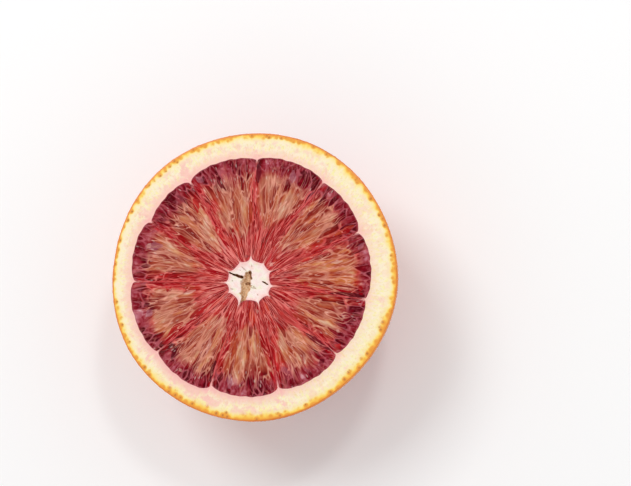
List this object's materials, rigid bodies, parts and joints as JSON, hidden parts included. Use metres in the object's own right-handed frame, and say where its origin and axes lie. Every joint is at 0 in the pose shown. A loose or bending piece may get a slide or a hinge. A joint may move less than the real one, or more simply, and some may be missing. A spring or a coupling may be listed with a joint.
{
  "type": "blood orange half",
  "caption": "Half a blood orange lying on its dome with the cut face up: peel, pith, segments of dark red pulp and a white core with small hollows.",
  "frame": {"origin": "on the floor, under the middle of the half's box, where the flat spot on the dome rests", "axes": "+Z up, out of the cut face; +X to the right and +Y up in the picture's view of the face"},
  "size_m": [0.0722, 0.0724, 0.0347],
  "materials": {
    "peel": "waxy, dimpled orange peel with a red blush",
    "pith": "matt, spongy, cream",
    "pulp": "wet, dark red to tan, with fine radial grain",
    "core": "matt, fibrous, pinkish white"
  },
  "bodies": {
    "root": {"blood_orange_half": "peel"}
  },
  "joints": []
}
